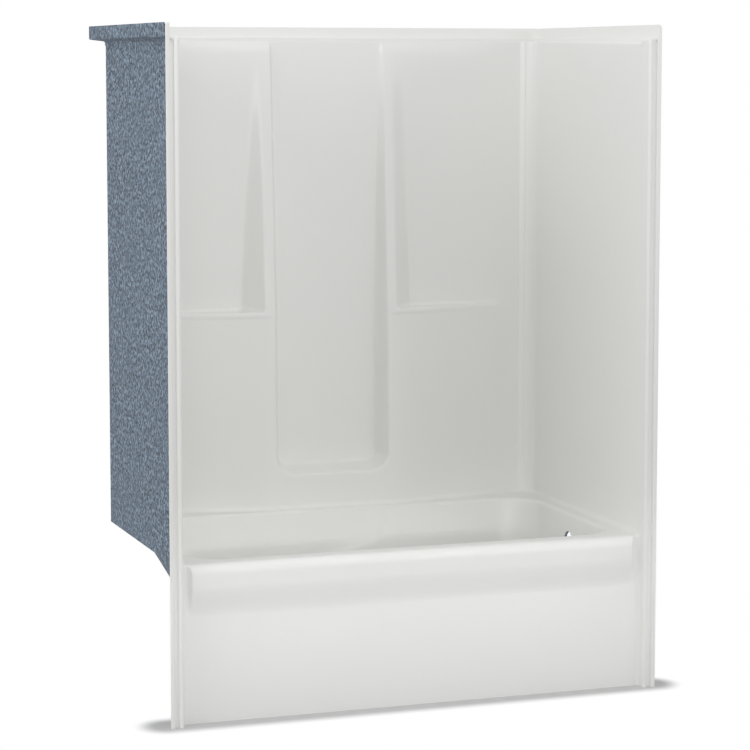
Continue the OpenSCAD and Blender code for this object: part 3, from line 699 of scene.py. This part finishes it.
def fibre_material(name):
    graph = Graph(bpy.data.materials.new(name))
    pick = settings()
    dark, mid, light = (Vector(c) for c in (pick.fibre_dark, pick.fibre_mid, pick.fibre_light))
    fleck = graph.noise(90.0, 2.0, rough=0.6)
    strand = graph.noise(85.0, 1.0, offset=(2.0, 5.0, 1.0))
    gap = graph.noise(90.0, 1.0, offset=(7.0, 1.0, 3.0))
    cloud = graph.noise(5.0, 3.0)
    shade = graph.blend(fleck.above(0.42, 0.58), colour(dark), colour(mid))
    shade = graph.blend(strand.above(0.50, 0.58), shade, colour(light))
    shade = graph.blend(gap.above(0.53, 0.60) * 0.95, shade, colour(dark * 0.4))
    shade = graph.blend(cloud.above(0.3, 0.7) * 0.25, shade, colour(mid * 0.85))
    normal = graph.bump(strand, 0.0012, 0.6)
    normal = graph.bump(fleck, 0.0008, 0.7, normal)
    return graph.surface(Base_Color=shade, Roughness=0.55 + fleck * 0.25, Normal=normal)


def board_material(name):
    graph = Graph(bpy.data.materials.new(name))
    chip = graph.node("ShaderNodeTexVoronoi", {"feature": "F1"}, {
        "Vector": graph.node("ShaderNodeMapping", None, {"Vector": graph.place, "Scale": (1.0, 0.5, 0.8)}),
        "Scale": 95.0}, "Color")
    tone = graph.node("ShaderNodeSeparateColor", None, {"Color": chip}, "Red")
    dust = graph.noise(300.0, 3.0)
    shade = graph.blend(tone, colour((0.36, 0.23, 0.12)), colour((0.60, 0.43, 0.26)))
    shade = graph.blend(dust.above(0.5, 0.8) * 0.5, shade, colour((0.26, 0.17, 0.09)))
    normal = graph.bump(tone + dust * 0.6, 0.0006, 0.6)
    return graph.surface(Base_Color=shade, Roughness=0.75 + dust * 0.15, Normal=normal)


def timber_material(name):
    graph = Graph(bpy.data.materials.new(name))
    warp = graph.noise(3.0, 2.0)
    rings = graph.noise(90.0, 3.0, stretch=(0.05, 1.0, 1.0))
    pores = graph.noise(700.0, 2.0, stretch=(0.03, 1.0, 1.0), offset=(1.0, 0.3, 0.2))
    shade = graph.blend(rings.above(0.38, 0.62), colour((0.62, 0.43, 0.24)), colour((0.42, 0.26, 0.13)))
    shade = graph.blend(pores.above(0.55, 0.75) * 0.4, shade, colour((0.28, 0.17, 0.08)))
    shade = graph.blend(warp.above(0.4, 0.7) * 0.3, shade, colour((0.70, 0.52, 0.32)))
    normal = graph.bump(rings + pores * 0.5, 0.0004, 0.5)
    return graph.surface(Base_Color=shade, Roughness=0.7 + pores * 0.15, Normal=normal)


MATERIAL_MAKERS = {
    "gel_coat": gel_coat_material,
    "fibre_backing": fibre_material,
    "core_board": board_material,
    "timber": timber_material,
}


def material(slot):
    """The material of a record slot, made when it is first asked for."""
    name = slot + "_look"
    return bpy.data.materials.get(name) or MATERIAL_MAKERS[slot](name)


def dress(slot, *nodes):
    """Gives CAD nodes that stay in view the material of a slot."""
    for name in nodes:
        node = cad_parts[name]
        node.data.materials.clear()
        node.data.materials.append(material(slot))


def settings():
    return bpy.context.scene.bath_settings


def colour_property(name, description, default):
    return bpy.props.FloatVectorProperty(name=name, description=description, default=default,
                                         subtype="COLOR", size=3, min=0.0, max=1.0)


def power_property(name, description, default):
    return bpy.props.FloatProperty(name=name, description=description, default=default, min=0.0, unit="POWER")


def radius_property(name, description, default, low):
    return bpy.props.FloatProperty(name=name, description=description, default=default,
                                   min=low, max=0.03, unit="LENGTH")


class BathSettings(bpy.types.PropertyGroup):
    gel_colour: colour_property("Gel coat", "Colour of the white face", (0.885, 0.888, 0.868))
    fibre_dark: colour_property("Fibre, dark", "Dark flecks of the backing", (0.070, 0.101, 0.141))
    fibre_mid: colour_property("Fibre, middle", "Main colour of the backing", (0.152, 0.209, 0.282))
    fibre_light: colour_property("Fibre, light", "Light flecks of the backing", (0.28, 0.365, 0.46))
    foot_radius: radius_property("Foot radius", "Radius between the walls and the deck", 0.014, 0.004)
    rim_round: radius_property("Basin edge radius", "Radius of the edge of the basin", 0.012, 0.005)
    front_power: power_property("Front light", "Power of the light beside the camera", 52.0)
    side_power: power_property("Side light", "Power of the light at the left", 68.0)
    right_power: power_property("Right light", "Power of the light at the right", 43.0)
    top_power: power_property("Top light", "Power of the light over the unit", 4.0)
    apron_power: power_property("Apron light", "Power of the narrow light on the apron", 0.40)
    room_light: bpy.props.FloatProperty(name="Room light", description="Strength of the light from all round",
                                        default=0.64, min=0.0)


class BATH_OT_back_wall(bpy.types.Operator):
    """Makes the white back wall with its channel, pilasters, niches and shelves"""
    bl_idname = "bath.back_wall"
    bl_label = "Back wall"

    def execute(self, context):
        bm = loft(back_wall_rows(back_wall_columns()), flip=True)
        finish_piece("back_wall", bm, material("gel_coat"),
                     ("back_channel", "back_lower_wall", "left_niche", "right_niche"), FACE_T)
        return {"FINISHED"}


class BATH_OT_side_walls(bpy.types.Operator):
    """Makes the white side walls, which run round the coved corners into the back wall"""
    bl_idname = "bath.side_walls"
    bl_label = "Side walls"

    def execute(self, context):
        for side, word in ((-1, "left"), (1, "right")):
            bm = loft(side_wall_rows(side), flip=side < 0)
            finish_piece(word + "_wall", bm, material("gel_coat"),
                         (word + "_wall_face", word + "_corner_cove"), FACE_T)
        return {"FINISHED"}


class BATH_OT_top_rim(bpy.types.Operator):
    """Makes the ledge and the upstand that run round the top of the three walls"""
    bl_idname = "bath.top_rim"
    bl_label = "Top rim"

    def execute(self, context):
        finish_piece("top_rim", loft(rim_rows(rim_plan()), flip=True), material("gel_coat"),
                     ("top_ledge", "top_flange"), RIM_T)
        return {"FINISHED"}


class BATH_OT_tub(bpy.types.Operator):
    """Makes the deck and the basin with its drain dish, overflow hole and armrests"""
    bl_idname = "bath.tub"
    bl_label = "Tub"

    def execute(self, context):
        cutter = self.overflow_cutter()
        finish_piece("tub", loft(self.rows(), closed=True, flip=True), material("gel_coat"),
                     ("basin_floor", "basin_backrest", "basin_drain_end", "basin_front_wall", "basin_rear_wall",
                      "tub_deck"), FACE_T, cut=cutter)
        bpy.data.objects.remove(cutter)
        self.overflow_collar()
        return {"FINISHED"}

    def rows(self):
        """Rows from the edge of the deck down the basin walls, over the floor and down the drain hole."""
        knee_h = BASIN_FLOOR_H + BASIN_FLOOR_R
        round_r = settings().rim_round
        rear_r = round_r * 0.5
        outline = ring(-WALL_X, WALL_X, APRON_BACK_Y, BACK_Y, COVE_R, DECK_H, front=DECK_CORNER_R)
        rows = [[(x, min(y, BACK_Y - lower_front(x, DECK_H) + FACE_T), z) for x, y, z in outline]]
        for i in range(9):
            angle = math.pi / 2 * i / 8
            z = DECK_H - round_r * (1 - math.cos(angle))
            rows.append(basin_ring(z, round_r * (1 - math.sin(angle)), rear_r * (1 - math.sin(angle))))
        for z in reversed(spaced(knee_h + 0.001, (DECK_H - round_r - 0.003, 0.005))):
            rows.append(basin_ring(z))
        for i in range(11):
            angle = math.pi / 2 * i / 10
            shrink = BASIN_FLOOR_R * (1 - math.cos(angle))
            fall = DECK_H - knee_h
            rows.append(ring(BASIN_LEFT_X + fall * math.tan(BACKREST_ANGLE) + shrink,
                             BASIN_RIGHT_X - fall * math.tan(DRAIN_END_ANGLE) - shrink,
                             BASIN_FRONT_Y + fall * math.tan(FRONT_ANGLE) + shrink,
                             BASIN_BACK_Y - fall * math.tan(REAR_ANGLE) - shrink, BASIN_R - shrink,
                             knee_h - BASIN_FLOOR_R * math.sin(angle)))
        edge = rows[-1]
        angles = [math.atan2(y - DRAIN_Y, x - DRAIN_X) for x, y, _ in edge]

        def circle(radius, z):
            return [(DRAIN_X + radius * math.cos(a), DRAIN_Y + radius * math.sin(a), z) for a in angles]

        lip = circle(DISH_R + DISH_LIP, BASIN_FLOOR_H)
        for share in (0.5, 0.85, 1.0):
            rows.append([tuple(Vector(a).lerp(Vector(b), share)) for a, b in zip(edge, lip)])
        rows.append(circle(DISH_R + DISH_EDGE, BASIN_FLOOR_H - DISH_FALL))
        rows.append(circle(DISH_R - DISH_WALL, BASIN_FLOOR_H - DISH_T))
        rows.append(circle(DRAIN_R + DRAIN_EDGE, BASIN_FLOOR_H - DISH_T))
        rows.append(circle(DRAIN_R, BASIN_FLOOR_H - DISH_T - DRAIN_EDGE))
        rows.append(circle(DRAIN_R, BASIN_FLOOR_H - COLLAR_T))
        return rows

    def overflow_cutter(self):
        """A cylinder square to the drain end that cuts the overflow hole."""
        bm = bmesh.new()
        bmesh.ops.create_cone(bm, cap_ends=True, segments=ROUND_SEGMENTS, radius1=OVERFLOW_R,
                              radius2=OVERFLOW_R, depth=2 * OVERFLOW_CUT)
        self.to_drain_end(bm)
        return plain_object("overflow_cutter", bm)

    def to_drain_end(self, bm):
        """Moves a shape that stands on the origin to the overflow hole."""
        turn = Matrix.Rotation(math.pi / 2 + DRAIN_END_ANGLE, 3, "Y")
        bmesh.ops.rotate(bm, verts=bm.verts, cent=(0, 0, 0), matrix=turn)
        x = BASIN_RIGHT_X - (DECK_H - OVERFLOW_H) * math.tan(DRAIN_END_ANGLE)
        bmesh.ops.translate(bm, verts=bm.verts, vec=(x, DRAIN_Y, OVERFLOW_H))

    def overflow_collar(self):
        """The fibre collar behind the overflow hole, turned from its section."""
        bm = bmesh.new()
        start, end, edge = OVERFLOW_PAD_START, OVERFLOW_PAD_T, OVERFLOW_PAD_EDGE
        section = [(OVERFLOW_R, start), (OVERFLOW_PAD_R, start), (OVERFLOW_PAD_R, end - edge),
                   (OVERFLOW_PAD_R - edge, end), (OVERFLOW_R + edge, end), (OVERFLOW_R, end - edge)]
        verts = [bm.verts.new((r, 0, z)) for r, z in section]
        edges = [bm.edges.new(pair) for pair in zip(verts, verts[1:] + verts[:1])]
        bmesh.ops.spin(bm, geom=edges, cent=(0, 0, 0), axis=(0, 0, 1), angle=2 * math.pi,
                       steps=ROUND_SEGMENTS, use_merge=True)
        bmesh.ops.remove_doubles(bm, verts=bm.verts, dist=0.00001)
        bmesh.ops.recalc_face_normals(bm, faces=bm.faces)
        self.to_drain_end(bm)
        finish_piece("overflow_collar", bm, material("fibre_backing"))


class BATH_OT_apron(bpy.types.Operator):
    """Makes the apron with its raised band and the rounded rim"""
    bl_idname = "bath.apron"
    bl_label = "Apron"

    def execute(self, context):
        radius = settings().foot_radius
        straight = WALL_X - radius
        half = [(x, 0.0) for x in spaced(0.0, (0.62, 0.124), (0.668, 0.012), (straight, 0.0016))]
        for i in range(1, 9):
            angle = math.pi / 2 * i / 8
            half.append((straight + radius * math.sin(angle), radius * (1 - math.cos(angle))))
        columns = [(-x, lift) for x, lift in reversed(half[1:])] + half
        rows = []
        for z in spaced(0.0, (BAND_BOTTOM_H - BAND_FOOT_LOW, 0.06), (BAND_BOTTOM_H + BAND_FOOT_HIGH, 0.003),
                        (DECK_H - RIM_R, 0.012)):
            rows.append([(x, self.front(x, z) - lift, z) for x, lift in columns])
        for i in range(1, 13):
            angle = math.pi / 2 * i / 12
            row = []
            for x, lift in columns:
                bend = mix(RIM_END_R, RIM_R, self.band(x))
                row.append((x, self.front(x, DECK_H - RIM_R) + bend - (bend + lift) * math.cos(angle),
                            DECK_H - bend + (bend + lift) * math.sin(angle)))
            rows.append(row)
        rows.append([(x, APRON_BACK_Y, DECK_H + lift) for x, lift in columns])
        finish_piece("apron", loft(rows, flip=True), material("gel_coat"),
                     ("apron_face",), FACE_T)
        return {"FINISHED"}

    def band(self, x):
        """1 along the band and 0 beside the columns, where it has run out."""
        return 1 - smooth(*BAND_END, abs(x))

    def front(self, x, z):
        """Place of the front surface: the panel and the band on it."""
        up = smooth(BAND_BOTTOM_H - BAND_FOOT_LOW, BAND_BOTTOM_H + BAND_FOOT_HIGH, z)
        return FRONT_Y + PANEL_BACK - (PANEL_BACK - BAND_BACK) * up * self.band(x)


class BATH_OT_columns(bpy.types.Operator):
    """Makes the front columns: the nailing flange, the groove and the bead with its arched top"""
    bl_idname = "bath.columns"
    bl_label = "Columns"

    def execute(self, context):
        for side, word in ((-1, "left"), (1, "right")):
            bm = self.front(side)
            bmesh.ops.remove_doubles(bm, verts=bm.verts, dist=0.00002)
            finish_piece(word + "_column", bm, material("gel_coat"),
                         (word + "_front_column", word + "_nail_flange"), COLUMN_SHEET_T)
        return {"FINISHED"}

    def front(self, side):
        """The front surface, from strips that share their edges."""
        edge_r, bend = COLUMN_EDGE_R, COLUMN_BEND_R
        flange = (arc(edge_r, edge_r, edge_r, 180, 270, 3) + arc(FLANGE_W - bend, bend, bend, 270, 360, 6)
                  + [(FLANGE_W, GROOVE_D - bend)])
        groove = (arc(FLANGE_W + bend, GROOVE_D - bend, bend, 180, 90, 6)
                  + [(BEAD_AXIS - BEAD_R - bend, GROOVE_D), (BEAD_AXIS - BEAD_R, BEAD_R)])
        bead = arc(BEAD_AXIS, BEAD_R, BEAD_R, 180, 360, 24)
        edge = BEAD_AXIS + BEAD_R
        leg = [(edge, v) for v in spaced(BEAD_R, (COLUMN_D, 0.015))]
        bm = bmesh.new()
        low = spaced(0.0, (BEAD_TOP_H, 0.25))
        middle = low + [FLANGE_BASE_H]
        high = middle + spaced(FLANGE_BASE_H, (TOP_H - COLUMN_TOP_R, 0.03), (TOP_H - COLUMN_TOP_GAP, 0.001))[1:]
        for columns, heights in ((flange, high), (groove, middle), (bead, low), (leg, low)):
            rows = [[self.place(side, u, v, z) for u, v in columns] for z in heights]
            if columns is groove:
                rows.append([self.place(side, u, v, self.under_ledge(u)) for u, v in columns])
            loft(rows, flip=side < 0, into=bm)
        dome = []
        for turn in range(90, -1, -10):
            a = math.radians(turn)
            dome.append([(u, BEAD_R - (BEAD_R - v) * math.sin(a), BEAD_TOP_H + (BEAD_R - v) * math.cos(a))
                         for u, v in bead])
        top = dome[-1]
        dome += [[(u, v, z) for u, _, z in top] for v in spaced(BEAD_R, (COLUMN_D, 0.015))[1:]]
        dome.append([(u, COLUMN_D, BEAD_TOP_H - 2 * BEAD_R) for u, _, z in top])
        loft([[self.place(side, *point) for point in row] for row in dome], flip=side < 0, into=bm)
        return bm

    def under_ledge(self, u):
        """Height of the ledge at its front end, less half the thickness of the rim."""
        part = (HALF_W - u - WALL_X) / (FLANGE_X - WALL_X)
        return mix(ledge_in_height(FRONT_Y), LEDGE_TOP_H, part) - COLUMN_T / 2

    def place(self, side, u, v, z):
        """World place of a distance from the outer edge, a distance from the front and a height."""
        short = clamp(z - (TOP_H - COLUMN_TOP_R), 0.0, COLUMN_TOP_R)
        inset = COLUMN_TOP_R - math.sqrt(COLUMN_TOP_R ** 2 - short ** 2)
        return (side * (HALF_W - inset - u * (1 - inset / FLANGE_W)), FRONT_Y + v, z)


class BATH_OT_backing(bpy.types.Operator):
    """Dresses the fibre backing and makes the backing of the ledge and the upstand"""
    bl_idname = "bath.backing"
    bl_label = "Fibre backing"

    def execute(self, context):
        dress("fibre_backing", "back_wall_backing", "left_corner_backing", "right_corner_backing",
              "left_wall_backing", "right_wall_backing", "tub_backing", "apron_backing")
        finish_piece("rim_backing", loft(self.rim_rows()), material("fibre_backing"),
                     ("top_flange_backing",), RIM_T)
        return {"FINISHED"}

    def rim_rows(self):
        """Rows from the outside of the walls, out under the ledge and up the outside of the upstand."""
        plan = [place for place in rim_plan() if place[0][1] > FRONT_Y + BACKING_GAP]
        bend, out = BACKING_BEND_R, FLANGE_BACKING_T
        rows = []

        def row(reach, height):
            """Points at a share of the way out from the wall backing to the outside of the upstand."""
            points = []
            for w, n, o in plan:
                start = (w[0] - n[0] * BACKING_OUT, min(w[1] - n[1] * BACKING_OUT, FLANGE_Y - BACKING_END))
                end = (o[0] + math.copysign(out, o[0]) if abs(o[0]) >= FLANGE_X - 1e-6 else o[0],
                       o[1] + out if o[1] >= FLANGE_Y - 1e-6 else o[1])
                points.append((mix(start[0], end[0], reach), mix(start[1], end[1], reach), height(w, o, reach)))
            return points

        def under(w, o, reach):
            """Height under the ledge, and never above the foot of the upstand."""
            run = math.hypot(o[0] - w[0], o[1] - w[1])
            part = clamp((BACKING_OUT + reach * (run - BACKING_OUT + out)) / run)
            ledge = mix(ledge_in_height(w[1]), LEDGE_TOP_H, part)
            return min(ledge - BACKING_UNDER, FLANGE_BASE_H + 0.001)

        for reach, fall in BACKING_FALLS:
            rows.append(row(reach, lambda w, o, reach, fall=fall: under(w, o, reach) - fall))
        for share in (0.0, 0.35, 0.7, 1.0):
            a = math.pi / 2 * share
            rows.append(row(1 - 0.05 * (1 - math.sin(a)), lambda w, o, reach, a=a:
                            FLANGE_BASE_H + bend * (1 - math.cos(a))))
        for share in (0.5, 0.9, 1.0):
            rows.append(row(1.0, lambda w, o, reach, share=share:
                            mix(FLANGE_BASE_H + bend, upstand_top(o[1]), share)))
        return rows


class BATH_OT_supports(bpy.types.Operator):
    """Dresses the boards and timbers under and behind the shell"""
    bl_idname = "bath.supports"
    bl_label = "Supports"

    def execute(self, context):
        dress("core_board", "left_wall_core", "right_wall_core", "bottom_board", "apron_stiffeners")
        dress("timber", "floor_runners", "front_rim_batten")
        return {"FINISHED"}


class BATH_OT_studio(bpy.types.Operator):
    """Makes the floor, the lights, the white surroundings and the camera"""
    bl_idname = "bath.studio"
    bl_label = "Studio"

    def execute(self, context):
        self.floor()
        self.world(context)
        self.lamps()
        self.camera(context)
        context.scene.view_settings.view_transform = "Standard"
        return {"FINISHED"}

    def floor(self):
        bm = bmesh.new()
        bmesh.ops.create_circle(bm, cap_ends=True, segments=ROUND_SEGMENTS, radius=FLOOR_R)
        floor = plain_object("floor", bm)
        graph = Graph(bpy.data.materials.new("floor"))

        def vector(operation, first, second=None, output=0):
            values = {0: first} if second is None else {0: first, 1: second}
            return graph.node("ShaderNodeVectorMath", {"operation": operation}, values, output)

        glow = graph.node("ShaderNodeEmission", None, {"Color": WHITE, "Strength": 1.0})
        plain = graph.node("ShaderNodeBsdfDiffuse", None, {"Color": FLOOR_GREY})
        foot = vector("ABSOLUTE", vector("SUBTRACT", graph.place, (0.0, FRONT_Y + PANEL_BACK, 0.0)))
        past = vector("MAXIMUM", vector("SUBTRACT", foot, (HALF_W, 0.0, 0.0)), (0.0, 0.0, 0.0))
        away = vector("LENGTH", past, output="Value")
        # Painted shadow band: near the foot line the glow falls to a small share, so the floor is darker there
        # under any light, deepened by the real shadow of the unit in its diffuse part
        outside_painted_shadow = FLOOR_PAINTED_SHADOW_GLOW + away.above(PANEL_BACK, PANEL_BACK + FLOOR_PAINTED_SHADOW_FADE) * (1 - FLOOR_PAINTED_SHADOW_GLOW)
        seen = graph.background_rays() * outside_painted_shadow
        both = graph.node("ShaderNodeMixShader", None, {0: seen, 1: plain, 2: glow})
        floor.data.materials.append(graph.show(both))

    def world(self, context):
        context.scene.world = bpy.data.worlds.new("studio")
        graph = Graph(context.scene.world)
        strength = graph.node("ShaderNodeMapRange", None, {
            "Value": graph.background_rays(), "To Min": settings().room_light, "To Max": 1.0})
        back = graph.node("ShaderNodeBackground", None, {"Color": WHITE, "Strength": strength})
        graph.show(back, "ShaderNodeOutputWorld")

    def lamps(self):
        for word, place, aim, width, height, spread in LAMPS:
            data = bpy.data.lights.new(word + "_light", "AREA")
            data.shape = "RECTANGLE"
            data.size = width
            data.size_y = height
            data.spread = math.radians(spread)
            data.energy = getattr(settings(), word + "_power")
            lamp = bpy.data.objects.new(word + "_light", data)
            bpy.context.scene.collection.objects.link(lamp)
            lamp.location = place
            lamp.rotation_euler = (Vector(aim) - Vector(place)).to_track_quat("-Z", "Y").to_euler()
            lamp.visible_glossy = word != "apron"

    def camera(self, context):
        data = bpy.data.cameras.new("camera")
        data.sensor_width = 36.0
        data.lens = CAMERA_LENS
        data.shift_x, data.shift_y = CAMERA_SHIFT
        data.clip_end = 100.0
        camera = bpy.data.objects.new("camera", data)
        context.scene.collection.objects.link(camera)
        camera.location = CAMERA_PLACE
        level = math.cos(CAMERA_PITCH)
        ahead = Vector((math.sin(CAMERA_YAW) * level, math.cos(CAMERA_YAW) * level, -math.sin(CAMERA_PITCH)))
        camera.rotation_euler = ahead.to_track_quat("-Z", "Y").to_euler()
        context.scene.camera = camera


OPERATORS = (
    BATH_OT_back_wall, BATH_OT_side_walls, BATH_OT_top_rim, BATH_OT_tub, BATH_OT_apron, BATH_OT_columns,
    BATH_OT_backing, BATH_OT_supports, BATH_OT_studio,
)


class BATH_PT_panel(bpy.types.Panel):
    """Lists the sizes, the colours and the steps of the build"""
    bl_idname = "BATH_PT_panel"
    bl_label = "Bath and shower"
    bl_space_type = "VIEW_3D"
    bl_region_type = "UI"
    bl_category = "Bath and shower"

    def draw(self, context):
        for name in BathSettings.__annotations__:
            self.layout.prop(context.scene.bath_settings, name)
        for operator in OPERATORS:
            self.layout.operator(operator.bl_idname)


CLASSES = (BathSettings, *OPERATORS, BATH_PT_panel)


def register():
    for cls in CLASSES:
        bpy.utils.register_class(cls)
    bpy.types.Scene.bath_settings = bpy.props.PointerProperty(type=BathSettings)


def unregister():
    del bpy.types.Scene.bath_settings
    for cls in reversed(CLASSES):
        bpy.utils.unregister_class(cls)


def main():
    register()
    for operator in OPERATORS:
        group, name = operator.bl_idname.split(".")
        getattr(getattr(bpy.ops, group), name)()


if __name__ == "__main__":
    main()
